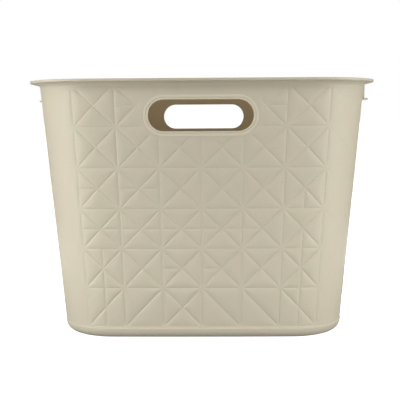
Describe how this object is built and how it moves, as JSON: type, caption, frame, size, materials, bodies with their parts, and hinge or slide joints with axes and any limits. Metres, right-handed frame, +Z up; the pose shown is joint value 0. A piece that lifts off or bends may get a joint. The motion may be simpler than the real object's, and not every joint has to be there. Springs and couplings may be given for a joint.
{
  "type": "storage basket",
  "caption": "Open-topped tapered storage basket with a flanged rim, rounded corners and a stadium-shaped hand slot in each long wall.",
  "frame": {"origin": "middle of the foot ring's underside, at the centre of the whole basket in plan", "axes": "+Z up out of the open mouth; +X along the long side; the front hand slot faces -Y"},
  "size_m": [0.388, 0.308, 0.286],
  "materials": {
    "embossed_plastic": "embossed, matt",
    "smooth_plastic": "as moulded, satin",
    "collar_plastic": "as moulded, satin"
  },
  "bodies": {
    "root": {"top_rim": "smooth_plastic", "front_wall": "embossed_plastic", "rear_wall": "embossed_plastic", "left_wall": "embossed_plastic", "right_wall": "embossed_plastic", "front_left_corner": "embossed_plastic", "front_right_corner": "embossed_plastic", "rear_right_corner": "embossed_plastic", "rear_left_corner": "embossed_plastic", "base_band": "smooth_plastic", "floor_panel": "smooth_plastic", "front_handle_collar": "collar_plastic", "rear_handle_collar": "collar_plastic", "left_nesting_stops": "smooth_plastic", "right_nesting_stops": "smooth_plastic"}
  },
  "joints": []
}
